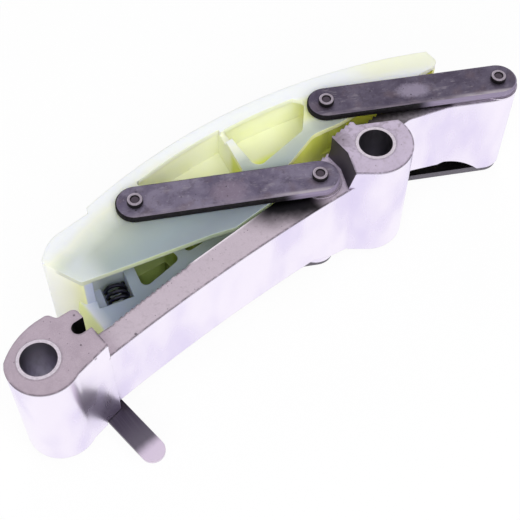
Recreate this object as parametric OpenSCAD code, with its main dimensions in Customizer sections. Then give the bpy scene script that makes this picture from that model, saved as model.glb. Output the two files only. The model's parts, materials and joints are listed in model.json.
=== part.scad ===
// Timing chain tensioner: a sintered steel base, a nylon shoe carried on a
// parallelogram of four riveted links, a coil spring between them, and a
// retaining strip that locks the shoe for fitting.
// +Z points to the engine block, z = 0 is the bolt head side of the bosses,
// the origin is on the left bolt bore, +X runs to the right bolt bore and
// +Y points to the chain. The model shows the tensioner retracted.

/* [Bolting] */
// Bore of the bolt sleeves
bolt_bore_d = 6.6; // [5.4:0.1:7.0]
// Wall of the bolt sleeves
sleeve_wall = 0.65; // [0.5:0.05:0.9]
// Distance between the two bolt bores
bolt_spacing = 76.5; // [74:0.5:84]
// Height of the two bolt bosses
boss_h = 26; // [24:0.5:32]
// Radius of the right boss, and of the left boss's round end
boss_r = 7.4; // [7:0.1:8.5]
// Run of the sloping wall between the bar and the right boss
ramp_run = 1.2; // [0.6:0.1:1.6]
// Length of the slot that locks the shoe, across its round end
lock_slot_d = 2.6; // [2.2:0.1:3]

/* [Bar] */
// Depth of the bar's top below the boss tops
bar_drop = 4.6; // [4:0.1:6]
// Height of the bar's underside above the boss bottoms
bar_rise = 3.8; // [2:0.1:6]
// Radius of the bowed near face of the bar
bar_near_r = 400; // [300:10:600]
// Radius of the bowed far face of the bar
bar_far_r = 620; // [500:10:900]
// Distance between neighbouring serrations
tooth_pitch = 1.22; // [1:0.02:1.5]
// Depth of the serrations on the right boss and beside the arm
tooth_depth = 0.4; // [0.2:0.05:0.6]
// Depth of the serrations on the bar
bar_tooth_depth = 0.3; // [0.15:0.05:0.5]

/* [Linkage] */
// Distance between the pivots of one link
link_length = 35.7; // [33:0.1:37]
// Angle of the links from +X when the shoe is retracted
link_angle = 152.1; // [148:0.1:156]
// Distance between the two base pivots, and between the two shoe pivots
pivot_spacing = 44.4; // [42:0.1:46]
// Angle of the line through the base pivots from +X
pivot_tilt = -4.2; // [-6:0.1:-2]
// Width of the links
link_w = 7.7; // [6:0.1:8]
// Thickness of the links
link_t = 1.5; // [1:0.1:2]
// Broken edge of the links
link_edge = 0.3; // [0.1:0.05:0.4]
// Diameter of the pin shanks
pin_d = 2.6; // [2:0.1:3]
// Diameter of the swaged pin heads
pin_head_d = 3.1; // [2.8:0.1:4]
// Height of the swaged heads above the links
pin_head_h = 1; // [0.6:0.1:1.4]
// Diameter of the dimple in each pin head
dimple_d = 1.7; // [1:0.1:2]
// Outer radius of the two pivot eyes on the base
eye_r = 4.15; // [3.6:0.05:4.6]
// How far the pivot eyes stand above the bar's top
eye_rise = 0.25; // [0.1:0.05:0.5]
// How far the pivot eyes reach below the boss bottoms
eye_reach = 1.2; // [0.5:0.1:2]

/* [Shoe] */
// Radius of the chain face
chain_face_r = 118; // [100:1:150]
// Thickness of the wall behind the chain face
chain_wall = 2.2; // [1.6:0.1:3]
// Thickness of the shoe's two side plates
plate_t = 1.2; // [1:0.1:2]
// Height of the rail between the side plates
rail_h = 6.6; // [5.8:0.1:7.6]
// Thickness of the wall at the shoe's nose
end_wall = 1.6; // [1.2:0.1:2.2]
// Radius of the solid round each shoe pivot
shoe_boss_r = 4.3; // [4:0.1:5]
// Width of the rib that runs up to the right shoe pivot
rib_w = 2.8; // [2:0.1:3.5]
// Distance of the left window from the chain face
window_inset = 2.6; // [2.3:0.1:3]

/* [Spring] */
// Outer diameter of the coil
spring_d = 4.6; // [4:0.1:5]
// Diameter of the spring wire
wire_d = 0.8; // [0.6:0.05:1]
// Number of turns
spring_turns = 8; // [6:1:9]
// Depth of the spring's pocket behind the bar's far face
spring_depth = 13.2; // [12:0.1:13.6]
// Lean of the spring from +Y towards the right bore
spring_lean = 15; // [8:1:18]

/* [Retaining strip] */
// Width of the strip
strip_w = 4.8; // [4:0.1:5.2]
// Thickness of the strip
strip_t = 0.7; // [0.5:0.05:0.9]
// Length of the strip in front of the lock slot
strip_len = 19; // [14:0.5:24]
// Turn of the strip from -Y
strip_turn = 5; // [0:1:8]
// Width of the tongue that stands up in the lock slot
tongue_w = 1.6; // [1.2:0.1:1.7]
// Height of the tongue
tongue_h = 15; // [10:0.5:18]

/* [Clearances] */
// Radial running clearance of the pins in the base and the shoe
pin_clear = 0.05; // [0.02:0.01:0.1]
// Radial clearance of the pin at the right shoe pivot
open_pivot_clear = 0.15; // [0.1:0.01:0.3]
// Radial clearance of pressed and swaged seats
seat_clear = 0.01; // [0.005:0.005:0.03]
// Gap between a link and the face it turns on
link_gap = 0.1; // [0.05:0.05:0.3]
// Gap between the shoe's side plates and the links
shoe_gap = 0.3; // [0.2:0.05:0.5]
// Gap between the shoe and the bar when retracted
rest_gap = 0.4; // [0.3:0.05:0.8]
// Gap round the spring and the strip in their seats
loose_gap = 0.2; // [0.1:0.05:0.3]

/* [Hidden] */
$fn = 64;
eps = 0.01;

bore2 = [bolt_spacing, 0];
sleeve_r = bolt_bore_d / 2 + sleeve_wall;
bar_z0 = bar_rise;
bar_z1 = boss_h - bar_drop;
eye_z0 = -eye_reach;
eye_z1 = bar_z1 + eye_rise;
upper_link_z = eye_z1 + link_gap;
lower_link_z = eye_z0 - link_gap - link_t;
mid_z = (eye_z0 + eye_z1) / 2;

// Base pivots follow the right bolt bore, shoe pivots follow the links.
base_pivot_l = bore2 + [-12.1, 2];
base_pivot_r = base_pivot_l + pivot_spacing * [cos(pivot_tilt), sin(pivot_tilt)];
link_span = link_length * [cos(link_angle), sin(link_angle)];
shoe_pivot_l = base_pivot_l + link_span;
shoe_pivot_r = base_pivot_r + link_span;

shoe_z0 = eye_z0 - link_gap + shoe_gap;
shoe_z1 = upper_link_z - shoe_gap;
rail_z0 = mid_z - rail_h / 2;
rail_z1 = mid_z + rail_h / 2;

// Crests of the bar's two faces and the ends of its serrated stretch
near_crest = [50, -2.85];
far_crest = [81, 4.05];
rack_x0 = 14;
rack_x1 = 33;

// The lock slot and the block on each side of it
slot_centre = [8.85, 1];
heel_end_x = 10.9;
heel_front_y = -5;

strip_centre = slot_centre + [0.4, 0];
groove_h = strip_t + 2 * loose_gap;

// The spring's axis leaves the bar here, and its near end clears the sloping face
spring_foot = on_far(shoe_pivot_l[0] - 13.55);
spring_start = loose_gap + spring_d / 2 * tan(spring_lean + far_slope(spring_foot[0]));

function unit(v) = v / norm(v);
function arc(c, r, a0, a1, n = 24) =
    [for (i = [0:n]) c + r * [cos(a0 + (a1 - a0) * i / n), sin(a0 + (a1 - a0) * i / n)]];
function turn(a) = a > 180 ? a - 360 : a < -180 ? a + 360 : a;
function xy(p) = [p[0], p[1]];

// Points of a fillet of radius r at corner b between neighbours a and c
function fillet(a, b, c, r, n = 8) =
    let (
        u = unit(a - b),
        v = unit(c - b),
        half = acos(u * v) / 2,
        centre = b + unit(u + v) * r / sin(half),
        p0 = b + u * r / tan(half) - centre,
        p1 = b + v * r / tan(half) - centre,
        a0 = atan2(p0[1], p0[0]),
        sweep = turn(atan2(p1[1], p1[0]) - a0)
    )
    [for (i = [0:n]) centre + r * [cos(a0 + sweep * i / n), sin(a0 + sweep * i / n)]];

// Closed outline from [x, y, radius] corners
function rounded(p) =
    let (n = len(p))
    [for (i = [0:n - 1]) each
        p[i][2] > 0
            ? fillet(xy(p[(i + n - 1) % n]), xy(p[i]), xy(p[(i + 1) % n]), p[i][2])
            : [xy(p[i])]];
function sharp(points) = [for (p = points) [p[0], p[1], 0]];

function bow_y(x, crest, r) = crest[1] - r + sqrt(r * r - (x - crest[0]) * (x - crest[0]));
function near_y(x) = bow_y(x, near_crest, bar_near_r);
function far_y(x) = bow_y(x, far_crest, bar_far_r);
function far_slope(x) = asin((far_crest[0] - x) / bar_far_r);
function on_far(x, gap = 0) = [x, far_y(x) + gap];

// Point where a line from p touches a circle, on its left (1) or right (-1) side
function touch(p, centre, r, side) =
    let (d = centre - p, a = atan2(d[1], d[0]) + side * asin(r / norm(d)))
    p + sqrt(d * d - r * r) * [cos(a), sin(a)];

// Points on the chain face, from dx right of the left shoe pivot, inset by d
chain_crest = [17.15, 8.3];
function chain_point(dx, d = 0) =
    let (r = chain_face_r)
    shoe_pivot_l + [dx, chain_crest[1] - r + sqrt((r - d) * (r - d) - pow(dx - chain_crest[0], 2))];
function chain_points(dx0, dx1, d = 0, n = 30) =
    [for (i = [0:n]) chain_point(dx0 + (dx1 - dx0) * i / n, d)];
function shoe_corner(dx, dy, r) = [shoe_pivot_l[0] + dx, shoe_pivot_l[1] + dy, r];

// Outline of the left boss with its hook and the block below the slot
module heel_outline() {
    difference() {
        polygon(rounded(concat(
            sharp(arc([0.5, -0.65], boss_r - 0.6, 158, 300)),
            [
                [heel_end_x, heel_front_y, 0],
                [heel_end_x - 0.4, 4.75, 1.2],
                [6.85, 4.9, 0.8],
                [5.85, 6.6, 1.2]
            ],
            sharp(arc([4.2, -7.4], 14, 88, 132, 8))
        )));
        translate(slot_centre) circle(d = lock_slot_d);
        translate(slot_centre + [0, -lock_slot_d / 2]) square([heel_end_x, lock_slot_d]);
    }
}

// Outline of the right boss: round front, cut-off far side, and its share of the far rack
pad = [-5.8, -0.1];
boss_left = [[pad[0], 5.65], [pad[0], 1.5], [-7.8, near_y(bore2[0] - 7.8)]];
module right_boss_outline() {
    translate(bore2) polygon(concat(arc([0, 0], boss_r, 230, 373), [[pad[1], boss_left[0][1]]], boss_left));
    intersection() {
        far_rack_outline();
        translate(bore2 + [pad[0], 0]) square([pad[1] - pad[0], 2 * boss_r]);
    }
}

// Sloping wall from the bar's top nearly up to the left edge of the right boss
module boss_ramp() {
    ramp_h = bar_drop - 0.3;
    for (i = [0, 1]) {
        run = boss_left[i + 1] - boss_left[i];
        translate([bore2[0] + boss_left[i][0], boss_left[i][1], bar_z1])
            rotate([90, 0, 90 + atan2(run[1], run[0])])
                linear_extrude(norm(run))
                    polygon([[1, -1], [1, ramp_h], [0, ramp_h], [-ramp_run, 0], [-ramp_run, -1]]);
    }
}

// Outline of the rack on the far side of the base, from the left eye to the arm
far_rack_x0 = bore2[0] - 9.1;
far_rack_x1 = bore2[0] + 8;
function on_far_rack(x, depth = 0) = [x, 7.1 + (x - bore2[0]) * tan(6.7) - depth];
module far_rack_outline() {
    teeth = floor((far_rack_x1 - far_rack_x0) / tooth_pitch);
    polygon(concat(
        [[far_rack_x0, 3], [far_rack_x1, 3]],
        [for (i = [0:teeth - 1]) let (x = far_rack_x1 - tooth_pitch * i) each [
            on_far_rack(x),
            on_far_rack(x - 0.8 * tooth_pitch, tooth_depth)
        ]],
        [on_far_rack(far_rack_x0)]
    ));
}

// Outline of the bar between its bowed faces, serrated towards the shoe
module bar_outline() {
    x0 = heel_end_x - 3;
    x1 = base_pivot_l[0] + 8;
    teeth = floor((rack_x1 - rack_x0) / tooth_pitch);
    polygon(concat(
        [for (i = [0:24]) let (x = x0 + (x1 - x0) * i / 24) [x, near_y(x)]],
        [on_far(x1), on_far(base_pivot_l[0] - eye_r), on_far(rack_x1 + tooth_pitch)],
        [for (i = [0:teeth - 1]) let (x = rack_x1 - tooth_pitch * i) each [
            on_far(x),
            on_far(x - 0.8 * tooth_pitch, -bar_tooth_depth)
        ]],
        [on_far(rack_x0 - tooth_pitch), [x0, far_y(x0)]]
    ));
}

// Outline of the arm from the right boss, both sides running tangent into the right eye
module arm_outline() {
    near = base_pivot_r + [-11.5, 1.45];
    far = base_pivot_r + [-15.7, 7.9];
    polygon(rounded(concat(
        [
            [bore2[0] + 4, 2, 0],
            [bore2[0] + 11.9, 2.85, 4],
            [near[0], near[1], 12]
        ],
        sharp([touch(near, base_pivot_r, eye_r, -1), touch(far, base_pivot_r, eye_r, 1)]),
        [[far[0], far[1], 12]],
        sharp([on_far_rack(far_rack_x1), [bore2[0] + 4, 5]])
    )));
}

// Space under the bar, which runs down to the right boss, and under the arm, arched down to its eye
module under_outline() {
    eye_l = base_pivot_l[0];
    arch_x = base_pivot_r[0] - 10.5;
    arch_run = 7.1;
    arch_h = 4.2;
    polygon([
        [0, -2 * eye_reach], [bore2[0], -2 * eye_reach], [bore2[0], 0.3],
        [eye_l + 4.5, 0.3], [eye_l, 1.2], [eye_l - 4.6, bar_z0], [0, bar_z0]
    ]);
    polygon(concat(
        [[arch_x + arch_run, -2 * eye_reach], [bore2[0] + 1, -2 * eye_reach]],
        [[bore2[0] + 1, bar_z0], [arch_x - 7, 3.2], [arch_x - 1.3, 2.4]],
        [for (t = [0:0.1:1]) [arch_x + arch_run * t, eye_z0 + arch_h * (1 - t * t)]]
    ));
}

module base() {
    color("#bdb6bb") difference() {
        union() {
            linear_extrude(boss_h) heel_outline();
            linear_extrude(boss_h) right_boss_outline();
            boss_ramp();
            translate([0, 0, bar_z0]) linear_extrude(bar_z1 - bar_z0) far_rack_outline();
            difference() {
                translate([0, 0, eye_z0]) linear_extrude(bar_z1 - eye_z0) {
                    bar_outline();
                    arm_outline();
                }
                translate([0, 2 * boss_r, 0]) rotate([90, 0, 0])
                    linear_extrude(4 * boss_r) under_outline();
            }
            for (p = [base_pivot_l, base_pivot_r])
                translate([p[0], p[1], eye_z0]) cylinder(r = eye_r, h = eye_z1 - eye_z0);
        }
        for (p = [[0, 0], bore2])
            translate([p[0], p[1], -1]) cylinder(r = sleeve_r + seat_clear, h = boss_h + 2);
        for (p = [base_pivot_l, base_pivot_r])
            translate([p[0], p[1], eye_z0 - 1])
                cylinder(r = pin_d / 2 + pin_clear, h = eye_z1 - eye_z0 + 2);
        strip_groove();
    }
}

// Shallow groove under the left boss for the retaining strip
module strip_groove() {
    translate([strip_centre[0], strip_centre[1], -1]) rotate(strip_turn)
        translate([-strip_w / 2 - loose_gap, -strip_len, 0])
            cube([strip_w + 2 * loose_gap, strip_len + 4, 1 + groove_h]);
}

module bolt_sleeve(p) {
    color("#d2cfd4") translate([p[0], p[1], 0]) difference() {
        cylinder(r = sleeve_r, h = boss_h);
        translate([0, 0, -1]) cylinder(d = bolt_bore_d, h = boss_h + 2);
    }
}
module bolt_sleeve_left() { bolt_sleeve([0, 0]); }
module bolt_sleeve_right() { bolt_sleeve(bore2); }

// Flat strip with a round end, its tongue bent up into the lock slot
module retaining_strip() {
    handle = strip_len - strip_w / 2;
    color("#77737a") translate([strip_centre[0], strip_centre[1], loose_gap]) {
        rotate(strip_turn) {
            translate([-strip_w / 2, -handle, 0]) cube([strip_w, handle - 0.5, strip_t]);
            translate([0, -handle, 0]) cylinder(d = strip_w, h = strip_t);
        }
        translate([slot_centre[0] - strip_centre[0] - tongue_w / 2, -0.9, 0])
            cube([tongue_w, strip_t, tongue_h]);
    }
}

// Flat link with round ends and broken edges, first pivot at the origin, along +X
module link() {
    half = link_w / 2;
    edge = link_edge;
    section = [
        [half - edge, 0], [half, edge], [half, link_t - edge], [half - edge, link_t]
    ];
    difference() {
        union() {
            for (x = [0, link_length])
                translate([x, 0, 0]) rotate_extrude() polygon(concat([[0, 0]], section, [[0, link_t]]));
            rotate([90, 0, 90]) linear_extrude(link_length)
                polygon(concat(section, [for (i = [3:-1:0]) [-section[i][0], section[i][1]]]));
        }
        for (x = [0, link_length])
            translate([x, 0, -1]) cylinder(d = pin_d + 2 * seat_clear, h = link_t + 2);
    }
}
module placed_link(pivot, z) {
    color("#5f5a63") translate([pivot[0], pivot[1], z]) rotate(link_angle) link();
}
module upper_left_link() { placed_link(base_pivot_l, upper_link_z); }
module lower_left_link() { placed_link(base_pivot_l, lower_link_z); }
module upper_right_link() { placed_link(base_pivot_r, upper_link_z); }
module lower_right_link() { placed_link(base_pivot_r, lower_link_z); }

// Pin through a pair of links, swaged over both with a dimple in each head
module pin(pivot) {
    z0 = lower_link_z;
    z1 = upper_link_z + link_t;
    shank = pin_d / 2;
    head = pin_head_d / 2;
    dimple = dimple_d / 2;
    crown = 0.25;
    lower = [
        [0, z0 - pin_head_h + 0.7], [dimple - 0.2, z0 - pin_head_h + 0.5], [dimple, z0 - pin_head_h],
        [head - crown, z0 - pin_head_h], [head, z0 - pin_head_h + crown], [head, z0], [shank, z0]
    ];
    upper = [for (i = [len(lower) - 1:-1:0]) [lower[i][0], z0 + z1 - lower[i][1]]];
    color("#aca7ad") translate(pivot) rotate_extrude() polygon(concat(lower, upper));
}
module left_base_pin() { pin(base_pivot_l); }
module left_shoe_pin() { pin(shoe_pivot_l); }
module right_base_pin() { pin(base_pivot_r); }
module right_shoe_pin() { pin(shoe_pivot_r); }

// Outline of the shoe's side plates
tail_dx = 70.5;
nose_dx = -7.5;
module plate_outline() {
    polygon(rounded(concat(
        sharp(chain_points(tail_dx, nose_dx)),
        [
            shoe_corner(nose_dx - 0.4, 4.5, 0),
            shoe_corner(-17.2, 3.9, 6),
            shoe_corner(-20.9, 0.6, 0.8),
            shoe_corner(-17.45, -7.65, 0.8),
            shoe_corner(8, -13.95, 12)
        ],
        sharp([for (x = [45:4:57]) on_far(x, rest_gap)]),
        [
            shoe_corner(25, -11, 1.5),
            shoe_corner(30.4, -9.5, 4),
            shoe_corner(37.9, -7, 4),
            shoe_corner(44, -8, 4),
            shoe_corner(tail_dx, -8.4, 1.5)
        ]
    )));
}

// Space between the side plates, behind the chain wall and open to the bar
module core_outline() {
    polygon(rounded(concat(
        sharp(chain_points(tail_dx - end_wall, nose_dx, chain_wall)),
        [
            shoe_corner(-16.5, 2.2, 4),
            shoe_corner(-18.6, 0.2, 0.6),
            shoe_corner(-15.7, -7.2, 0),
            shoe_corner(-13, -20, 0),
            shoe_corner(tail_dx - end_wall, -20, 0)
        ]
    )));
}

// Solid columns, the tapered cross rib and the rib up to the right pivot, between the plates
module rib_outline() {
    for (p = [shoe_pivot_l, shoe_pivot_r])
        translate(p) circle(r = shoe_boss_r);
    translate(shoe_pivot_l) polygon([[20.7, -8.7], [23.8, -8.7], [24.8, 6.5], [24, 6.5]]);
    bar_between(shoe_pivot_l + [22.8, -8.45], shoe_pivot_l + [42, -5.55], rib_w);
}

module bar_between(a, b, w) {
    d = b - a;
    translate(a) rotate(atan2(d[1], d[0])) translate([0, -w / 2]) square([norm(d), w]);
}

// Windows through the side plates, joined by a notch over the cross rib's far end
module window_outline() {
    polygon(rounded(concat(
        sharp(chain_points(23.8, 3.4, window_inset, 12)),
        [shoe_corner(1.6, 4.95, 0.6), shoe_corner(21.2, -6.6, 1.2)]
    )));
    polygon(rounded(concat(
        sharp(chain_points(40.4, 24.75, window_inset + 0.6, 12)),
        [
            shoe_corner(23.9, -6.85, 1.8),
            shoe_corner(36.9, -4.9, 1.2),
            shoe_corner(42, 0.8, 1)
        ]
    )));
    translate(shoe_pivot_l + [22.2, 2.1]) square([3.2, 2.6]);
}

// Outline of the rail, which reaches in to the bar
module rail_outline() {
    polygon(concat(
        [
            shoe_pivot_l + [-15, -2],
            shoe_pivot_l + [-19.05, -7.4],
            shoe_pivot_l + [-21.1, -13.2]
        ],
        [for (x = [12.6:4:48.6]) on_far(x, rest_gap)],
        [shoe_pivot_l + [12, -2]]
    ));
}

// Pockets of the rail: the spring's bore and window, and two lightening pockets
module rail_pockets() {
    bore_r = spring_d / 2 + loose_gap;
    window_y = 7;
    window_side = 1.8;
    translate([spring_foot[0], spring_foot[1], mid_z]) rotate(-spring_lean) {
        translate([0, -1, 0]) rotate([-90, 0, 0]) cylinder(r = bore_r, h = spring_depth + 1);
        translate([-bore_r - window_side, window_y, 0])
            cube([2 * bore_r + window_side, spring_depth - window_y, rail_h]);
    }
    translate([0, 0, rail_z0 - 1]) linear_extrude(rail_h + 2) {
        polygon(rounded([
            shoe_corner(-6.9, -11.4, 1.2),
            shoe_corner(2.5, -10.1, 1.2),
            shoe_corner(2, -5.2, 0.6),
            shoe_corner(-5.3, -4.7, 0.6)
        ]));
        polygon(rounded([
            shoe_corner(4.6, -9.75, 0.9),
            shoe_corner(8.8, -9.85, 0.9),
            shoe_corner(8.6, -5.2, 0.6),
            shoe_corner(4.3, -5.2, 0.6)
        ]));
    }
}

module shoe() {
    inner_h = (shoe_z1 - shoe_z0 - rail_h) / 2 - plate_t;
    color("#e3ebc2") difference() {
        union() {
            difference() {
                translate([0, 0, shoe_z0]) linear_extrude(shoe_z1 - shoe_z0) plate_outline();
                for (z = [shoe_z0 + plate_t, rail_z1])
                    translate([0, 0, z]) linear_extrude(inner_h) difference() {
                        core_outline();
                        rib_outline();
                    }
                for (z = [shoe_z0 - 1, shoe_z1 - plate_t - eps])
                    translate([0, 0, z]) linear_extrude(plate_t + 1 + eps) window_outline();
            }
            translate([0, 0, rail_z0]) linear_extrude(rail_h) rail_outline();
        }
        rail_pockets();
        translate([shoe_pivot_l[0], shoe_pivot_l[1], shoe_z0 - 1])
            cylinder(r = pin_d / 2 + pin_clear, h = shoe_z1 - shoe_z0 + 2);
        translate([shoe_pivot_r[0], shoe_pivot_r[1], shoe_z0 - 1])
            cylinder(r = pin_d / 2 + open_pivot_clear, h = shoe_z1 - shoe_z0 + 2);
    }
}

// Coil swept along a helix, its end turns closed flat
module tension_spring() {
    sides = 8;
    per_turn = 20;
    steps = spring_turns * per_turn;
    r = (spring_d - wire_d) / 2;
    wire_r = wire_d / 2;
    length = spring_depth - spring_start - wire_d - loose_gap;
    start = spring_start + wire_r;
    points = [for (i = [0:steps]) let (a = 360 * i / per_turn, h = start + length * i / steps)
        for (k = [0:sides - 1]) let (b = 360 * k / sides, q = r + wire_r * cos(b))
            [q * cos(a), h + wire_r * sin(b), q * sin(a)]];
    faces = concat(
        [[for (k = [0:sides - 1]) k]],
        [for (i = [0:steps - 1]) for (k = [0:sides - 1])
            let (n = (k + 1) % sides, s = i * sides)
            [s + k, s + sides + k, s + sides + n, s + n]],
        [[for (k = [sides - 1:-1:0]) steps * sides + k]]
    );
    color("#3d3b44") translate([spring_foot[0], spring_foot[1], mid_z]) rotate(-spring_lean)
        polyhedron(points, faces);
}

base();
bolt_sleeve_left();
bolt_sleeve_right();
retaining_strip();
upper_left_link();
lower_left_link();
left_base_pin();
left_shoe_pin();
upper_right_link();
lower_right_link();
right_base_pin();
right_shoe_pin();
shoe();
tension_spring();
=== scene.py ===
import json
import math

import bmesh
import bpy
import numpy as np
from mathutils import Matrix, Vector


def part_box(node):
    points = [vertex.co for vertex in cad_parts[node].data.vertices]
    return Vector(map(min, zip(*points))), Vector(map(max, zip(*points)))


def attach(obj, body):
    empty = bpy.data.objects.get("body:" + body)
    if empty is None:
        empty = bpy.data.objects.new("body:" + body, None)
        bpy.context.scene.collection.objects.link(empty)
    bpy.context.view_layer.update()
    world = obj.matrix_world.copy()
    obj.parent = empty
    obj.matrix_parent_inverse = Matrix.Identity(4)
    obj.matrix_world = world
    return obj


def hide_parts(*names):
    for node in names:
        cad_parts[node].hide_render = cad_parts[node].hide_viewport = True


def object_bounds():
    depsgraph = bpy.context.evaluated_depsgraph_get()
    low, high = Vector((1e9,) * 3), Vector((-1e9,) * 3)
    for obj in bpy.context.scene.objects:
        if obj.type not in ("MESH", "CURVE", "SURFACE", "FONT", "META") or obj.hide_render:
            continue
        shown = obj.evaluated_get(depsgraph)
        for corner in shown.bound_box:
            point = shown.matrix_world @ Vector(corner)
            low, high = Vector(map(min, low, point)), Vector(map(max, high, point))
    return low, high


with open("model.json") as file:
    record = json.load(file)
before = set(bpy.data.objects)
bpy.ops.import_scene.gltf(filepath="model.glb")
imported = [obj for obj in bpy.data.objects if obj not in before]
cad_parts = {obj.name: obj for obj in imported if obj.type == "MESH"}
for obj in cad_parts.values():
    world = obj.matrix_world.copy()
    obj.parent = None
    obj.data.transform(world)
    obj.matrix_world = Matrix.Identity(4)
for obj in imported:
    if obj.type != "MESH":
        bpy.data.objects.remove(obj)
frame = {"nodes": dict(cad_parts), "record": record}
cad_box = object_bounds()
nodes = frame["nodes"]
scene = bpy.context.scene
scene.view_settings.view_transform = "Standard"

MM = 0.001
FLOOR_GAP = 0.02 * MM
FLOOR_Z = cad_box[0].z - FLOOR_GAP

# Places on the part in millimetres, in the shared frame
RIGHT_BORE_X = 76.5
BOSS_TOP_Z = 26.0
BAR_TOP_Z = 21.4
BAR_X = (13.0, 66.0)
BAR_LIP_X = (34.0, 58.0)
RAMP_X = (66.2, 71.4)
LOCK_SLOT_X, LOCK_SLOT_Y = (7.3, 12.8), (-0.4, 2.4)
MID_Z = 10.225
CHAIN_CENTRE = (50.0, -91.0, 0.0)
CHAIN_FACE_R = 118.0
RAIL_CORNER, RAIL_SLOPE = (15.399, 11.055), 0.2475

# The links' directions, and their middles measured across and along those directions
LINK_ACROSS = (0.468, 0.884, 0.0)
LINK_ALONG = (0.884, -0.468, 0.0)
LEFT_LINK_MIDDLE = (31.9, 38.1)
LEFT_TO_RIGHT_LINK = (17.85, 40.7)
BETWEEN_LINKS = (40.6, 41.0)


class Signal:
    """One socket of a material's tree. Arithmetic adds Math nodes, and node() adds any other."""

    def __init__(self, tree, socket=None):
        self.tree, self.socket = tree, socket

    def node(self, kind, inputs=None, out=0, **settings):
        """Adds a node: settings first, where stops fills a ramp, then values or signals."""
        made = self.tree.nodes.new("ShaderNode" + kind)
        for name, value in settings.items():
            if name == "stops":
                ramp = made.color_ramp
                while len(ramp.elements) < len(value):
                    ramp.elements.new(1.0)
                for element, (place, colour) in zip(ramp.elements, value):
                    element.position = place
                    element.color = (*colour, 1.0)
            else:
                setattr(made, name, value)
        for key, value in (inputs or {}).items():
            if isinstance(value, Signal):
                self.tree.links.new(value.socket, made.inputs[key])
            else:
                made.inputs[key].default_value = value
        return Signal(self.tree, made.outputs[out])

    def math(self, operation, *others):
        values = dict(enumerate((self, *others)))
        return self.node("Math", values, operation=operation)

    def __add__(self, other):
        return self.math("ADD", other)

    __radd__ = __add__

    def __mul__(self, other):
        return self.math("MULTIPLY", other)

    __rmul__ = __mul__

    def __sub__(self, other):
        return self.math("SUBTRACT", other)

    def __rsub__(self, other):
        return self.node("Math", {0: other, 1: self}, operation="SUBTRACT")

    def __truediv__(self, other):
        return self.math("DIVIDE", other)

    def __rtruediv__(self, other):
        return self.node("Math", {0: other, 1: self}, operation="DIVIDE")

    def __abs__(self):
        return self.math("ABSOLUTE")

    def step(self, low, high):
        """0 below low, 1 above high and a smooth S between; low above high falls instead."""
        if low > high:
            return 1 - self.step(high, low)
        limits = {"Value": self, "From Min": low, "From Max": high}
        return self.node("MapRange", limits, interpolation_type="SMOOTHSTEP")

    def within(self, low, high, soft):
        """1 between low and high, falling to 0 over soft on each side."""
        return self.step(low - soft, low + soft) * self.step(high + soft, high - soft)

    def ramp(self, low, high, stops):
        """Colour from stops, each a value between low and high with its colour."""
        share = self.node("MapRange", {"Value": self, "From Min": low, "From Max": high})
        places = [((value - low) / (high - low), colour) for value, colour in stops]
        return share.node("ValToRGB", {"Fac": share}, stops=places)

    def vector(self, operation, *others, out="Vector"):
        values = dict(enumerate((self, *others)))
        return self.node("VectorMath", values, out=out, operation=operation)

    def part(self, axis):
        return self.node("SeparateXYZ", {"Vector": self}, out=axis)

    def along(self, direction):
        """How far a point lies along a direction."""
        return self.vector("DOT_PRODUCT", direction, out="Value")

    def plan_distance(self, centre):
        """Distance from a point, seen along Z."""
        flat = self.vector("MULTIPLY", (1.0, 1.0, 0.0))
        return flat.vector("DISTANCE", (*centre[:2], 0.0), out="Value")

    def blend(self, low, high):
        """Colour that goes from low to high as this value goes from 0 to 1."""
        def rgba(c):
            return c if isinstance(c, Signal) else (*c, 1.0)
        # A Mix node takes colours at its inputs 6 and 7 and gives one at its output 2
        colours = {0: self, 6: rgba(low), 7: rgba(high)}
        return self.node("Mix", colours, out=2, data_type="RGBA")


def new_material(name):
    """An empty node material, and the Signal that new nodes start from."""
    material = bpy.data.materials.new(name)
    material.use_nodes = True
    material.node_tree.nodes.clear()
    return material, Signal(material.node_tree)


def to_output(shader, kind="OutputMaterial"):
    output = shader.tree.nodes.new("ShaderNode" + kind)
    shader.tree.links.new(shader.socket, output.inputs["Surface"])


def finish(material, start, inputs):
    """Ends a material in a Principled shader with these inputs."""
    to_output(start.node("BsdfPrincipled", inputs))
    return material


def place_mm(start):
    """Object coordinates in millimetres."""
    at = start.node("TexCoord", out="Object")
    return at.vector("MULTIPLY", (1.0 / MM,) * 3)


def normal(start):
    return start.node("TexCoord", out="Normal")


def from_bores(at):
    """Distance from the axis of the nearer bolt bore."""
    left, right = at.plan_distance((0.0, 0.0)), at.plan_distance((RIGHT_BORE_X, 0.0))
    return left.math("MINIMUM", right)


def noise(at, scale, detail=3.0, rough=0.5, stretch=None, warp=0.0):
    """Noise with scale features per millimetre, drawn out where stretch is under 1."""
    if stretch:
        at = at.vector("MULTIPLY", stretch)
    return at.node("TexNoise", {
        "Vector": at, "Scale": scale, "Detail": detail, "Roughness": rough, "Distortion": warp,
    })


def specks(at, scale, size, share):
    """1 inside round specks: one point per Voronoi cell, kept for a share of the cells."""
    values = {"Vector": at, "Scale": scale}
    near = at.node("TexVoronoi", values, out="Distance")
    pick = at.node("TexVoronoi", values, out="Color").part("X")
    return near.step(size, size * 0.6) * pick.step(share, share - 0.02)


def bump(height, distance_mm, strength, under=None):
    """Relief of a height signal, laid over another normal where one is given."""
    values = {"Strength": strength, "Distance": distance_mm * MM, "Height": height}
    if under is not None:
        values["Normal"] = under
    return height.node("Bump", values)


def rounded_normal(start, radius_mm):
    """Normals rounded over the edges."""
    return start.node("Bevel", {"Radius": radius_mm * MM}, samples=6)


def edge_mask(rounded):
    """1 along the edges, where a rounded normal leans 6 to 26 degrees off the surface's own."""
    own = rounded.node("NewGeometry", out="Normal")
    return rounded.vector("DOT_PRODUCT", own, out="Value").step(0.995, 0.90)


# Finishes of the steel pieces


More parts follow.
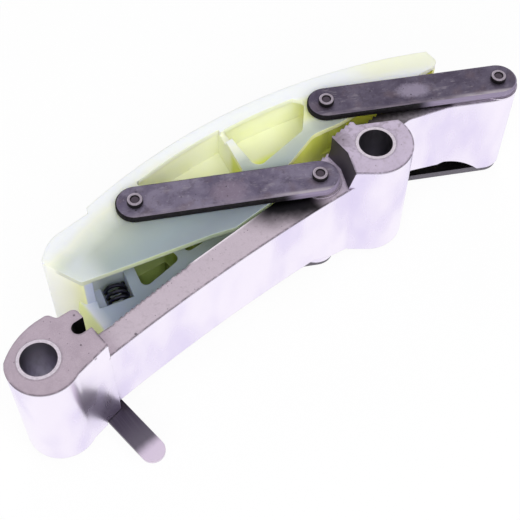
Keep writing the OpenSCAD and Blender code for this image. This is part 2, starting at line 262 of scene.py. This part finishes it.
def sintered_steel():
    """Pressed and sintered steel: matte pitted ends with a dark burr, burnished bright walls."""
    heel_dark, heel_pale = (0.395, 0.318, 0.383), (0.45, 0.365, 0.436)
    boss_dark, boss_pale = (0.493, 0.416, 0.542), (0.56, 0.477, 0.617)
    bar_grey, grain_pale = (0.57, 0.49, 0.56), (0.68, 0.6, 0.67)
    patch_dark, blotch_dark = (0.36, 0.295, 0.345), (0.22, 0.18, 0.22)
    pit_black, burr_black, lip_highlight = (0.09, 0.07, 0.09), (0.07, 0.058, 0.075), (0.98, 0.93, 1.0)
    link_shadow_black, corner_dark = (0.012, 0.01, 0.012), (0.19, 0.155, 0.185)
    wall_bright, wall_stain = (0.94, 0.875, 1.0), (0.76, 0.685, 0.92)
    rim_dark, wall_speck = (0.12, 0.1, 0.14), (0.3, 0.25, 0.3)
    ramp_shade_low, ramp_shade_high = (0.05, 0.044, 0.052), (0.1, 0.088, 0.1)
    slot_shade_black = (0.006, 0.005, 0.006)

    material, s = new_material("sintered_steel")
    at = place_mm(s)
    x, y, z = (at.part(axis) for axis in "XYZ")
    facing = normal(s)
    end = abs(facing.part("Z")).step(0.55, 0.85)
    edge = edge_mask(rounded_normal(s, 0.8))
    mottle = noise(at, 0.3, 4.0, 0.6)
    patch = noise(at, 1.3, 4.0, 0.65)
    grain = noise(at, 5.5, 2.0, 0.6)
    pits = specks(at, 0.42, 0.14, 0.4).math("MAXIMUM", specks(at, 1.1, 0.14, 0.3))
    on_bar = x.within(*BAR_X, 2.0)
    on_boss = x.step(62.0, 68.0)
    lip = x.within(*BAR_LIP_X, 1.0) * y.step(0.4, 1.0)

    # Matte ends: the tone of heel, boss and bar, then grain, pits and blotches
    heel = mottle.step(0.32, 0.7).blend(heel_dark, heel_pale)
    boss = mottle.step(0.32, 0.7).blend(boss_dark, boss_pale)
    matte = on_boss.blend(heel, boss)
    matte = (on_bar * 0.7).blend(matte, bar_grey)
    matte = (grain.step(0.4, 0.75) * 0.3).blend(matte, grain_pale)
    matte = (patch.step(0.5, 0.75) * 0.5).blend(matte, patch_dark)
    matte = (pits * 0.8).blend(matte, pit_black)
    blotch = noise(at, 0.38, 5.0, 0.7, warp=1.2).step(0.5, 0.62) * on_boss * y.step(-4.0, 0.0)
    matte = (blotch * 0.45).blend(matte, blotch_dark)

    # Broken burr along the edges, faint on the far side and at the bores; a painted highlight along
    # the lip on the bar's far edge
    near_side = y.step(2.0, -2.5).math("MAXIMUM", on_bar)
    burr = edge * (1 - lip) * noise(at, 1.0, 4.0, 0.7).step(0.32, 0.55)
    burr = burr * (0.3 + 0.7 * near_side) * (0.4 + 0.6 * from_bores(at).step(4.6, 5.6))
    matte = (burr * 0.9).blend(matte, burr_black)
    matte = (edge * lip * 0.9).blend(matte, lip_highlight)

    # Painted shadow beside the links on the bar and the arm, darkest by the left link, lighter
    # along the arm and patchy; a dirty patch at the boss's corner
    dirt_and_shadow_outline = mottle * 2.4 - 1.2
    across = at.along(LINK_ACROSS)
    bar_link_shadow = (across + dirt_and_shadow_outline).step(20.8, 26.6) * x.step(44.0, 53.0) * x.step(63.8, 59.8)
    arm_link_shadow = (across + dirt_and_shadow_outline).step(39.6, 42.6) * x.within(77.5, 98.0, 0.8)
    link_shadow = bar_link_shadow.math("MAXIMUM", arm_link_shadow) * z.step(BAR_TOP_Z + 0.6, BAR_TOP_Z + 0.4)
    link_shadow_tone = x.ramp(58.0, 94.0, [
        (58.0, (0.016, 0.015, 0.018)), (79.0, (0.06, 0.05, 0.042)), (85.0, (0.16, 0.14, 0.15)),
        (93.0, (0.4, 0.36, 0.42)),
    ])
    link_shadow_tone = (patch.step(0.4, 0.7) * 0.45).blend(link_shadow_tone, link_shadow_black)
    matte = link_shadow.blend(matte, link_shadow_tone)
    corner = (across + dirt_and_shadow_outline * 1.5).step(34.5, 38.0) * x.step(75.0, 71.5)
    corner = corner * z.step(BOSS_TOP_Z - 1.0, BOSS_TOP_Z - 0.5)
    matte = (corner * 0.7).blend(matte, corner_dark)

    # Bright walls: upright clouds and smears, a dark line under the tops, a few specks
    upright = (1.0, 1.0, 0.45)
    cloud = noise(at, 0.12, 2.0, 0.5, stretch=upright)
    smear = noise(at, 0.5, 4.0, 0.6, stretch=upright)
    stain = cloud.step(0.35, 0.75) * 0.85
    stain = stain + smear.step(0.55, 0.85) * cloud.step(0.4, 0.6) * 0.25
    bright = stain.blend(wall_bright, wall_stain)
    under_boss_top = z.step(BOSS_TOP_Z - 0.55, BOSS_TOP_Z - 0.45)
    under_bar_top = z.within(BAR_TOP_Z - 0.5, BAR_TOP_Z + 0.05, 0.05)
    rim = (under_boss_top + under_bar_top) * edge
    bright = (rim * (1 - lip) * 0.75).blend(bright, rim_dark)
    bright = (specks(at, 0.16, 0.06, 0.35) * 0.7).blend(bright, wall_speck)

    # Painted shade: the sloping wall between bar and boss painted dark, darkest at its foot, and
    # the inside of the lock slot painted black
    ramp_face = x.within(*RAMP_X, 0.3) * z.step(BAR_TOP_Z - 0.1, BAR_TOP_Z + 0.2)
    ramp_face = ramp_face * facing.part("X").step(-0.15, -0.35)
    ramp_face = ramp_face * facing.part("Y").step(-0.6, -0.45)
    shade = z.step(BAR_TOP_Z, BOSS_TOP_Z - 0.5).blend(ramp_shade_low, ramp_shade_high)
    bright = (ramp_face * 0.95).blend(bright, shade)
    slot = x.within(*LOCK_SLOT_X, 0.15) * y.within(*LOCK_SLOT_Y, 0.06)
    bright = slot.blend(bright, slot_shade_black)

    wall_rough = 0.22 + 0.1 * cloud.step(0.45, 0.7) + (ramp_face + slot) * 0.3
    height = (grain * 0.5 - pits) * end + smear * 0.12 * (1 - end)
    return finish(material, s, {
        "Base Color": end.blend(bright, matte),
        "Metallic": 1 - 0.45 * end * (1 - link_shadow),
        "Roughness": wall_rough * (1 - end) + (0.36 + 0.12 * grain) * end,
        "Normal": bump(height, 0.03, 0.4, rounded_normal(s, 0.15)),
    })


def sleeve_steel():
    """Turned steel sleeve: satin end ring with a bright inner lip, and a bore painted as shade at
    its mouth and as light deeper down.
    """
    bore_mouth_shade, bore_deep_light = (0.13, 0.12, 0.145), (0.58, 0.54, 0.68)
    bore_black, bore_smear = (0.02, 0.018, 0.022), (0.2, 0.185, 0.22)
    ring_dark, ring_pale = (0.57, 0.51, 0.58), (0.69, 0.62, 0.7)
    outer_line, inner_lip = (0.11, 0.095, 0.115), (0.8, 0.74, 0.8)
    half_height, lit_depth = 0.5 * BOSS_TOP_Z, 10.0

    material, s = new_material("sleeve_steel")
    at = place_mm(s)
    x, y, z = (at.part(axis) for axis in "XYZ")
    upright = abs(normal(s).part("Z")).step(0.5, 0.9)
    rounded = rounded_normal(s, 0.16)
    edge = edge_mask(rounded)
    radius = from_bores(at)
    depth = abs(z - half_height).step(half_height, half_height - lit_depth)
    smear = noise(at, 0.9, 3.0, 0.6, stretch=(1.0, 1.0, 0.4))
    # Painted shade at the bore's mouth and painted light deeper down, darker in the right bore,
    # with smears
    inside = depth.blend(bore_mouth_shade, bore_deep_light)
    inside = (x.step(30.0, 40.0) * 0.55).blend(inside, bore_black)
    inside = (smear.step(0.4, 0.75) * 0.35).blend(inside, bore_smear)
    ring = noise(at, 2.2, 3.0).step(0.3, 0.7).blend(ring_dark, ring_pale)
    colour = upright.blend(inside, ring)
    far_side = y.step(-1.5, 2.5)
    line = edge * radius.step(3.5, 3.8) * (0.6 + 0.4 * far_side)
    colour = line.blend(colour, outer_line)
    colour = (edge * radius.step(3.7, 3.45) * 0.7).blend(colour, inner_lip)
    return finish(material, s, {
        "Base Color": colour, "Metallic": 0.8, "Roughness": 0.34 + 0.1 * smear,
        "Normal": bump(smear, 0.02, 0.4, rounded),
    })


def link_steel():
    """Dark heat-treated strip steel: violet and brown clouds, scuffs, a rubbed patch, worn edges
    with a painted highlight, sheared sides painted black as shade except at one end, and the lower
    links' faces painted near-black as shade."""
    left_dark, left_pale = (0.13, 0.11, 0.168), (0.225, 0.197, 0.273)
    right_dark, right_pale = (0.082, 0.067, 0.104), (0.14, 0.12, 0.17)
    brown, cloud_dark, scuff_pale = (0.14, 0.1, 0.118), (0.07, 0.056, 0.075), (0.33, 0.295, 0.345)
    left_rub, right_rub = (0.27, 0.215, 0.28), (0.31, 0.27, 0.36)
    fleck_pale, near_edge, polished_highlight = (0.36, 0.33, 0.4), (0.31, 0.265, 0.31), (0.5, 0.45, 0.5)
    speck_black, corner_wear_and_highlight = (0.025, 0.021, 0.025), (0.38, 0.335, 0.385)
    side_shade_black, side_shade_dark = (0.004, 0.0035, 0.004), (0.016, 0.014, 0.017)
    end_side, low_side, lower_link_shade_black = (0.25, 0.21, 0.3), (0.13, 0.12, 0.14), (0.01, 0.009, 0.01)

    material, s = new_material("link_steel")
    at = place_mm(s)
    tall = at.part("Z")
    rounded = rounded_normal(s, 0.2)
    edge = edge_mask(rounded)
    upright = abs(normal(s).part("Z")).step(0.8, 0.97)

    # Places on a link: off_side from its middle line, off_middle along it
    across, lengthwise = at.along(LINK_ACROSS), at.along(LINK_ALONG)
    right = across.step(*BETWEEN_LINKS)
    off_side = across - LEFT_LINK_MIDDLE[0] - LEFT_TO_RIGHT_LINK[0] * right
    off_middle = lengthwise - LEFT_LINK_MIDDLE[1] - LEFT_TO_RIGHT_LINK[1] * right

    cloud = noise(at, 0.2, 4.0, 0.6, warp=0.5)
    fine = noise(at, 2.2, 4.0, 0.65)
    drawn = at.node("CombineXYZ", {"X": across * 2.4, "Y": lengthwise * 0.16, "Z": 0.0})
    scuff = noise(drawn, 1.0, 3.0, 0.6)
    rub = noise(at, 0.42, 3.0, 0.55)

    left_face = cloud.step(0.32, 0.68).blend(left_dark, left_pale)
    right_face = cloud.step(0.32, 0.68).blend(right_dark, right_pale)
    face = right.blend(left_face, right_face)
    face = (noise(at, 0.3, 2.0).step(0.5, 0.72) * 0.45).blend(face, brown)
    face = (noise(at, 0.55, 5.0, 0.7).step(0.52, 0.66) * 0.4).blend(face, cloud_dark)
    face = (rub.step(0.52, 0.72) * scuff.step(0.45, 0.62) * 0.5).blend(face, scuff_pale)

    # An oval rubbed patch at the middle, with a ragged outline
    out_along = off_middle / 3.4
    out_across = (off_side + 0.7 * (1 - right)) / (2.8 - 1.0 * right)
    oval = out_along * out_along + out_across * out_across
    worn = (oval + (rub - 0.5) * 1.2 + (fine - 0.5) * 1.4).step(1.7, 0.2)
    face = (worn * (0.65 + 0.2 * right)).blend(face, right.blend(left_rub, right_rub))

    # Flecks, a scuffed near edge that is rubbed bright at one end, partly wear and partly a painted
    # highlight, and black specks
    fleck = noise(at, 1.2, 5.0, 0.75).step(0.55, 0.7) * (0.45 - 0.25 * right)
    face = fleck.blend(face, fleck_pale)
    face = (off_side.step(-2.2, -3.7) * scuff.step(0.3, 0.6) * 0.5).blend(face, near_edge)
    polish_and_highlight = off_middle.step(6.0, 12.0) * off_side.step(-2.5, -3.3) * scuff.step(0.2, 0.5)
    face = (polish_and_highlight * 0.75).blend(face, polished_highlight)
    face = (specks(at, 0.7, 0.13, 0.35) * 0.75).blend(face, speck_black)
    # The lower links' faces painted near-black: painted shade under the base
    lower_link_shaded = tall.within(-1.6, 15.0, 0.2) * tall.step(5.0, 0.0)
    face = lower_link_shaded.blend(face, lower_link_shade_black)

    # Sides painted black as shade, except at one end where they keep their own colour; grey on the
    # lower links
    side = fine.step(0.3, 0.75).blend(side_shade_black, side_shade_dark)
    at_end = (off_middle - 10.0 * (1 - right)).step(0.0, 4.0)
    side = at_end.blend(side, end_side)
    side = tall.step(1.0, -0.5).blend(side, low_side)
    colour = upright.blend(side, face)
    # Paler edges on the faces: wear and a painted highlight
    colour = (edge * upright * scuff.step(0.25, 0.6) * 0.55).blend(colour, corner_wear_and_highlight)
    return finish(material, s, {
        "Base Color": colour, "Metallic": 0.85 * upright, "Specular IOR Level": 0.1,
        "Roughness": (0.36 + 0.2 * fine) * upright + 0.55 * (1 - upright),
        "Normal": bump(fine + scuff * 0.6, 0.02, 0.4, rounded),
    })


def pin_steel():
    """Swaged pin: satin rim with a painted highlight on the side towards the chain, dark dimple and
    sides painted black as shade.
    """
    rim_dark, rim_pale, rim_highlight = (0.29, 0.25, 0.3), (0.43, 0.375, 0.44), (0.7, 0.62, 0.72)
    dimple_dark, side_shade_black = (0.085, 0.068, 0.088), (0.008, 0.007, 0.008)
    dimple_lip, dimple_wall = 13.92, 13.78

    material, s = new_material("pin_steel")
    at = place_mm(s)
    facing = normal(s)
    grain = noise(at, 4.0, 3.0, 0.6)
    head = abs(facing.part("Z")).step(0.55, 0.9)
    dimple = abs(at.part("Z") - MID_Z).step(dimple_lip, dimple_wall)
    face = grain.step(0.3, 0.75).blend(rim_dark, rim_pale)
    # Painted highlight on the rim's side towards the chain
    colour = (facing.part("Y").step(0.05, 0.5) * 0.8).blend(face, rim_highlight)
    colour = dimple.blend(colour, dimple_dark)
    # The head's sides are painted black as shade
    return finish(material, s, {
        "Base Color": head.blend(side_shade_black, colour), "Metallic": 0.9 * head,
        "Specular IOR Level": 0.15, "Roughness": 0.36 + 0.14 * grain,
        "Normal": bump(grain, 0.02, 0.5, rounded_normal(s, 0.12)),
    })


def strip_steel():
    """Cold rolled strip: dark along its length, bright at the free end."""
    dark_root, dark_end = (0.062, 0.052, 0.072), (0.155, 0.14, 0.17)
    rolled_pale, tip_bright = (0.13, 0.118, 0.14), (0.72, 0.62, 0.75)
    edge_pale, tongue_shade_black = (0.42, 0.37, 0.43), (0.015, 0.013, 0.016)

    material, s = new_material("strip_steel")
    at = place_mm(s)
    x, y, z = (at.part(axis) for axis in "XYZ")
    rounded = rounded_normal(s, 0.12)
    edge = edge_mask(rounded)
    rolled = noise(at, 1.0, 3.0, 0.6, stretch=(3.0, 0.12, 3.0))
    cloud = noise(at, 0.5, 3.0, 0.6)
    dark = y.step(-6.0, -14.5).blend(dark_root, dark_end)
    dark = (rolled.step(0.35, 0.72) * 0.35).blend(dark, rolled_pale)
    tip = (y + cloud * 0.8 - x * 0.1).step(-13.6, -16.2)
    colour = tip.blend(dark, tip_bright)
    colour = (edge * 0.6).blend(colour, edge_pale)
    # The tongue inside the lock slot painted black as shade
    tongue = z.step(1.5, 2.5)
    colour = tongue.blend(colour, tongue_shade_black)
    return finish(material, s, {
        "Base Color": colour, "Metallic": 0.9, "Roughness": 0.28 + 0.16 * rolled,
        "Normal": bump(rolled, 0.015, 0.3, rounded),
    })


def spring_steel():
    """Oil-tempered wire with a blotchy film."""
    film_dark, film_pale = (0.025, 0.025, 0.042), (0.075, 0.075, 0.11)
    material, s = new_material("spring_steel")
    film = noise(place_mm(s), 1.4, 3.0, 0.6)
    return finish(material, s, {
        "Base Color": film.step(0.3, 0.75).blend(film_dark, film_pale), "Metallic": 0.9,
        "Roughness": 0.34 + 0.15 * film, "Normal": bump(film, 0.02, 0.3),
    })


# Finish of the shoe


def nylon():
    """Natural nylon with light and shade painted into its colour: a painted glow, milky white at
    the chain face and yellow in the depth, and painted shade, bluish where the plates cover the
    rail."""
    nose_painted_light, tail_painted_glow, tail_painted_light = (0.66, 0.715, 0.69), (0.84, 0.89, 0.44), (0.96, 0.99, 0.74)
    glow_thin, glow_thick = (0.965, 0.995, 0.7), (0.975, 0.998, 0.78)
    glow_tail, plate_corner = (0.98, 0.998, 0.25), (0.86, 0.93, 0.66)
    shade_olive_middle, shade_olive_tail, shade_olive_front = (0.84, 0.9, 0.16), (0.5, 0.56, 0.08), (0.24, 0.32, 0.08)
    pocket_shade_dark, pocket_shade_pale = (0.17, 0.23, 0.02), (0.25, 0.32, 0.035)
    spring_seat_shade = (0.54, 0.6, 0.74)
    # Distances from the middle plane
    plate_outside, plate_inside, rail_side = (10.4, 10.8), (9.8, 10.1), (3.0, 3.6)

    material, s = new_material("nylon")
    at = place_mm(s)
    x, y, z = (at.part(axis) for axis in "XYZ")
    facing = normal(s)
    flat = abs(facing.part("Z")).step(0.4, 0.8)
    rounded = rounded_normal(s, 0.25)
    edge = edge_mask(rounded)
    flow = noise(at, 0.09, 3.0, 0.5, warp=0.8)
    fine = noise(at, 3.2, 3.0, 0.6)

    # Where a point lies: on a plate's face or edge, on the rail, at the nose, towards the bar
    off_mid = abs(z - MID_Z)
    plate_face = flat * off_mid.step(*plate_outside)
    plate_edge = (1 - flat) * off_mid.step(*plate_inside)
    rail_face = flat * off_mid.within(*rail_side, 0.1)
    nose = (1 - flat) * x.step(16.4, 15.4) * facing.part("X").step(-0.2, -0.5)
    behind = CHAIN_FACE_R - at.plan_distance(CHAIN_CENTRE)
    beside_rail = (y - RAIL_CORNER[1]) + RAIL_SLOPE * (x - RAIL_CORNER[0])
    open_side = beside_rail.step(5.2, 4.0) * x.step(58.0, 54.0)

    # The plates, by the depth behind the chain face: painted light, white near the chain face and
    # darker and bluish towards the bar, paler at the nose, with a painted glow beside the right
    # link and paler at the tail
    plates = (behind + (flow - 0.5) * 3.0 - 5.0 * x.step(46.0, 58.0)).ramp(0.0, 24.0, [
        (0.0, (0.95, 0.985, 0.985)), (1.4, (0.95, 0.985, 0.93)), (3.0, (0.92, 0.95, 0.76)),
        (5.0, (0.71, 0.76, 0.64)), (7.5, (0.47, 0.52, 0.46)), (11.5, (0.365, 0.425, 0.415)),
        (15.7, (0.3, 0.36, 0.39)), (20.0, (0.24, 0.28, 0.325)),
    ])
    plates = (x.step(22.0, 16.5) * behind.step(4.5, 7.0) * 0.95).blend(plates, nose_painted_light)
    glow = x.within(68.0, 84.0, 3.0) * behind.within(4.2, 9.6, 1.2)
    plates = (glow * 0.95).blend(plates, tail_painted_glow)
    plates = (x.step(84.0, 92.0) * behind.step(6.0, 3.0)).blend(plates, tail_painted_light)

    # Inside the windows and pockets, and on the rail: a painted glow in the windows, painted olive
    # shade deeper behind the chain face and in the pockets, and painted bluish shade on the rail
    # and at the spring's seat, darker towards the bar, with a painted highlight at the ledge
    # block's edge
    clear = flow.step(0.3, 0.7).blend(glow_thin, glow_thick)
    clear = x.step(74.0, 80.0).blend(clear, glow_tail)
    olive = x.step(66.0, 76.0).blend(shade_olive_middle, shade_olive_tail)
    olive = x.step(48.0, 42.0).blend(olive, shade_olive_front)
    depth = behind.step(7.5, 9.5).blend(clear, olive)
    rail = x.ramp(12.0, 44.0, [
        (12.0, (0.8, 0.86, 0.46)), (14.6, (0.8, 0.86, 0.44)), (15.3, (0.82, 0.85, 0.92)),
        (17.5, (0.47, 0.55, 0.66)), (24.0, (0.37, 0.44, 0.52)), (34.0, (0.42, 0.49, 0.55)),
        (42.0, (0.36, 0.42, 0.44)),
    ])
    pocket = flow.step(0.3, 0.7).blend(pocket_shade_dark, pocket_shade_pale)
    pocket = x.step(25.9, 25.2).blend(pocket, spring_seat_shade)
    inner = open_side.blend(depth, rail_face.blend(pocket, rail))

    # The outer skin and the plates' edges: the skin white at the chain face and yellower deeper
    # behind it, a painted glow; the plates' edges darker to the right
    wall = behind.ramp(0.0, 12.0, [
        (0.0, (0.97, 0.99, 0.94)), (3.0, (0.975, 0.995, 0.82)), (7.0, (0.97, 0.995, 0.72)),
        (10.3, (0.96, 0.99, 0.48)),
    ])
    rim = x.ramp(14.0, 40.0, [
        (14.0, (0.62, 0.65, 0.52)), (28.0, (0.52, 0.6, 0.34)), (40.0, (0.3, 0.36, 0.26)),
    ])
    skin = (nose + behind.step(1.4, 0.6)).math("MINIMUM", 1.0)
    sides = skin.blend(inner, wall)
    sides = plate_edge.blend(sides, open_side.blend(wall, rim))
    colour = plate_face.blend(sides, plates)
    colour = (edge * plate_face * 0.3).blend(colour, plate_corner)
    return finish(material, s, {
        "Base Color": colour, "Roughness": 0.38 + 0.12 * fine,
        "Subsurface Weight": 0.4, "Subsurface Radius": (1.0, 1.0, 0.5),
        "Subsurface Scale": 6.0 * MM,
        "Normal": bump(fine, 0.02, 0.25, rounded),
    })


# Shapes: merged copies of the CAD pieces, and turned and coiled ones worked out here

SMOOTH_BELOW = math.radians(25)
SAME_POINT = 2e-7
SAME_POLE = 1e-8


def merged_mesh(node):
    """A merged copy of a CAD node's mesh with smooth curved faces and sharp edges."""
    mesh = nodes[node].data.copy()
    shape = bmesh.new()
    shape.from_mesh(mesh)
    bmesh.ops.remove_doubles(shape, verts=shape.verts, dist=SAME_POINT)
    for face in shape.faces:
        face.smooth = True
    for line in shape.edges:
        line.smooth = line.is_manifold and line.calc_face_angle() < SMOOTH_BELOW
    shape.to_mesh(mesh)
    shape.free()
    if "custom_normal" in mesh.attributes:
        mesh.attributes.remove(mesh.attributes["custom_normal"])
    return mesh


def surface(name, points):
    """A closed skin over a grid of points, rows by columns. The columns run round and join up,
    the rows run from one end to the other, and a face closes each end."""
    rows, columns = points.shape[:2]
    i, j = np.meshgrid(np.arange(rows - 1), np.arange(columns), indexing="ij")
    row, next_row, beside = i * columns, (i + 1) * columns, (j + 1) % columns
    corners = [row + j, row + beside, next_row + beside, next_row + j]
    faces = np.stack(corners, -1).reshape(-1, 4).tolist()
    faces += [list(range(columns)), list(range((rows - 1) * columns, rows * columns))]
    mesh = bpy.data.meshes.new(name)
    mesh.from_pydata((points.reshape(-1, 3) * MM).tolist(), [], faces)
    shape = bmesh.new()
    shape.from_mesh(mesh)
    bmesh.ops.remove_doubles(shape, verts=shape.verts, dist=SAME_POLE)
    bmesh.ops.recalc_face_normals(shape, faces=shape.faces)
    for face in shape.faces:
        face.smooth = True
    shape.to_mesh(mesh)
    shape.free()
    return mesh


def arc(centre, radius, start, stop, count=7):
    """Points on a circle in the plane of radius and height, between two angles in degrees."""
    a = np.radians(np.linspace(start, stop, count))
    return np.stack([centre[0] + radius * np.cos(a), centre[1] + radius * np.sin(a)], -1)


def pin_mesh(name, low, high):
    """A swaged pin: its profile of radius and height, turned once round the pin's axis. Each
    head is a drum with a rounded rim and a dished dimple; the shank between is the CAD one."""
    axis = 0.5 * (low + high)
    head, top = 0.5 * (high[0] - low[0]), high[2]
    rise, shank, crown, dimple, lip, turn_steps = 1.0, 1.3, 0.32, 0.92, 0.12, 64
    dish = np.array([[0.84, 0.34], [0.72, 0.42], [0.3, 0.48], [0.0, 0.49]])
    upper = np.concatenate([
        [[shank, MID_Z], [shank, top - rise], [head, top - rise]],
        arc((head - crown, top - crown), crown, 0.0, 90.0),
        arc((dimple + lip, top - lip), lip, 90.0, 180.0),
        dish * (1.0, -1.0) + (0.0, top),
    ])
    lower = upper[::-1] * (1.0, -1.0) + (0.0, 2.0 * MID_Z)
    profile = np.concatenate([lower, upper[1:]])
    turn = np.linspace(0.0, 2.0 * np.pi, turn_steps, endpoint=False)
    radius, height = profile[:, :1], profile[:, 1:] * np.ones_like(turn)
    points = [axis[0] + radius * np.cos(turn), axis[1] + radius * np.sin(turn), height]
    return surface(name, np.stack(points, -1))


def spring_mesh(name):
    """A round wire carried along a helix: the wire's circle lies in the plane through the
    coil's axis, and its centre goes round that axis and along it at an even pitch."""
    foot, lean, start, length = (19.299, 0.972), 15.0, 1.47, 11.13
    coil_r, wire_r, turns, turn_steps, wire_steps = 1.9, 0.4, 8, 40, 14
    along = np.linspace(0.0, 1.0, turns * turn_steps + 1)[:, None]
    round_wire = np.linspace(0.0, 2.0 * np.pi, wire_steps, endpoint=False)[None, :]
    a = 2.0 * np.pi * turns * along
    reach = coil_r + wire_r * np.cos(round_wire)
    p, q = reach * np.cos(a), start + length * along + wire_r * np.sin(round_wire)
    c, s = np.cos(np.radians(-lean)), np.sin(np.radians(-lean))
    points = [foot[0] + c * p - s * q, foot[1] + s * p + c * q, MID_Z + reach * np.sin(a)]
    return surface(name, np.stack(points, -1))


def dress(node, mesh, material, body):
    """Shows a finished mesh in place of a CAD node."""
    mesh.materials.clear()
    mesh.materials.append(material)
    piece = bpy.data.objects.new(node + "_dressed", mesh)
    scene.collection.objects.link(piece)
    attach(piece, body)
    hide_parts(node)


finishes = {
    "sintered_steel": sintered_steel(), "sleeve_steel": sleeve_steel(),
    "link_steel": link_steel(), "pin_steel": pin_steel(), "strip_steel": strip_steel(),
    "spring_steel": spring_steel(), "nylon": nylon(),
}
slot_of = {row["node"]: row["material_slot"] for row in frame["record"]["subparts"]}
for body, members in frame["record"]["behaviour"]["bodies"].items():
    for node in members:
        if node.endswith("_pin"):
            low, high = (np.array(corner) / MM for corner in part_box(node))
            mesh = pin_mesh(node + "_turned", low, high)
        elif node == "tension_spring":
            mesh = spring_mesh("tension_spring_wire")
        else:
            mesh = merged_mesh(node)
        dress(node, mesh, finishes[slot_of[node]], body)


# Floor, light and camera

WHITE = (1.0, 1.0, 1.0, 1.0)


def white_for_the_eye(start):
    """1 for rays from the camera, a reflection or a clear surface, 0 for the light they gather."""
    path = start.tree.nodes.new("ShaderNodeLightPath")
    kinds = ("Is Camera Ray", "Is Glossy Ray", "Is Transmission Ray")
    camera, glossy, clear = (Signal(start.tree, path.outputs[kind]) for kind in kinds)
    return camera.math("MAXIMUM", glossy).math("MAXIMUM", clear)


def make_floor():
    """A pale square floor under the part, a flat grid. Seen directly it is nearly white and
    keeps a faint shadow."""
    half, lines, white_share, paper_tone = 1.5, 9, 0.93, (0.95, 0.95, 0.955, 1.0)
    grid = np.linspace(-half, half, lines)
    x, y = np.meshgrid(grid, grid, indexing="ij")
    points = np.stack([x, y, np.full_like(x, FLOOR_Z)], -1).reshape(-1, 3)
    i, j = np.meshgrid(np.arange(lines - 1), np.arange(lines - 1), indexing="ij")
    a = (i * lines + j).ravel()
    faces = np.stack([a, a + lines, a + lines + 1, a + 1], -1)
    mesh = bpy.data.meshes.new("floor")
    mesh.from_pydata(points.tolist(), [], faces.tolist())
    material, s = new_material("floor_paper")
    paper = s.node("BsdfDiffuse", {"Color": paper_tone})
    white = s.node("Emission", {"Color": WHITE, "Strength": 1.0})
    share = white_for_the_eye(s) * white_share
    to_output(s.node("MixShader", {0: share, 1: paper, 2: white}))
    mesh.materials.append(material)
    floor = bpy.data.objects.new("floor", mesh)
    scene.collection.objects.link(floor)


def make_world():
    """Soft even light; white where it is seen directly or in a reflection."""
    even = 0.25
    world = bpy.data.worlds.new("studio")
    world.use_nodes = True
    world.node_tree.nodes.clear()
    s = Signal(world.node_tree)
    strength = white_for_the_eye(s) * (1.0 - even) + even
    to_output(s.node("Background", {"Color": WHITE, "Strength": strength}), "OutputWorld")
    scene.world = world


def make_lamp(name, place, size, power):
    """A square softbox that lights the part and isn't mirrored in its bright walls."""
    part_middle = Vector((0.05, 0.01, 0.01))
    data = bpy.data.lights.new(name, "AREA")
    data.shape = "SQUARE"
    data.size = size
    data.energy = power
    lamp = bpy.data.objects.new(name, data)
    lamp.location = place
    lamp.rotation_mode = "QUATERNION"
    lamp.rotation_quaternion = (part_middle - Vector(place)).to_track_quat("-Z", "Y")
    lamp.visible_glossy = False
    scene.collection.objects.link(lamp)


def make_camera():
    """Camera from the photo's viewpoint: place in mm, pitch down, heading from +Y to +X, roll."""
    place = Vector((-29.75, -97.74, 205.93)) * MM
    pitch, heading, roll = map(math.radians, (57.286, 38.583, -0.557))
    focal_px, image_px, sensor = 1186.07, 520, 36.0
    level = math.cos(pitch)
    ahead = Vector((math.sin(heading) * level, math.cos(heading) * level, -math.sin(pitch)))
    right = ahead.cross(Vector((0, 0, 1))).normalized()
    down = ahead.cross(right)
    c, s = math.cos(roll), math.sin(roll)
    right, down = c * right + s * down, c * down - s * right
    data = bpy.data.cameras.new("photo_camera")
    data.sensor_width = sensor
    data.lens = focal_px / image_px * sensor
    data.clip_start, data.clip_end = 0.01, 10.0
    camera = bpy.data.objects.new("photo_camera", data)
    turn = Matrix((right, -down, -ahead)).transposed().to_4x4()
    camera.matrix_world = Matrix.Translation(place) @ turn
    scene.collection.objects.link(camera)
    scene.camera = camera


make_floor()
make_world()
make_lamp("back_softbox", (0.428, 0.484, 0.36), size=0.35, power=1.45)
make_lamp("top_softbox", (-0.03, -0.32, 0.45), size=0.45, power=2.3)
make_lamp("fill_softbox", (-0.42, -0.3, 0.26), size=0.4, power=1.5)
make_camera()
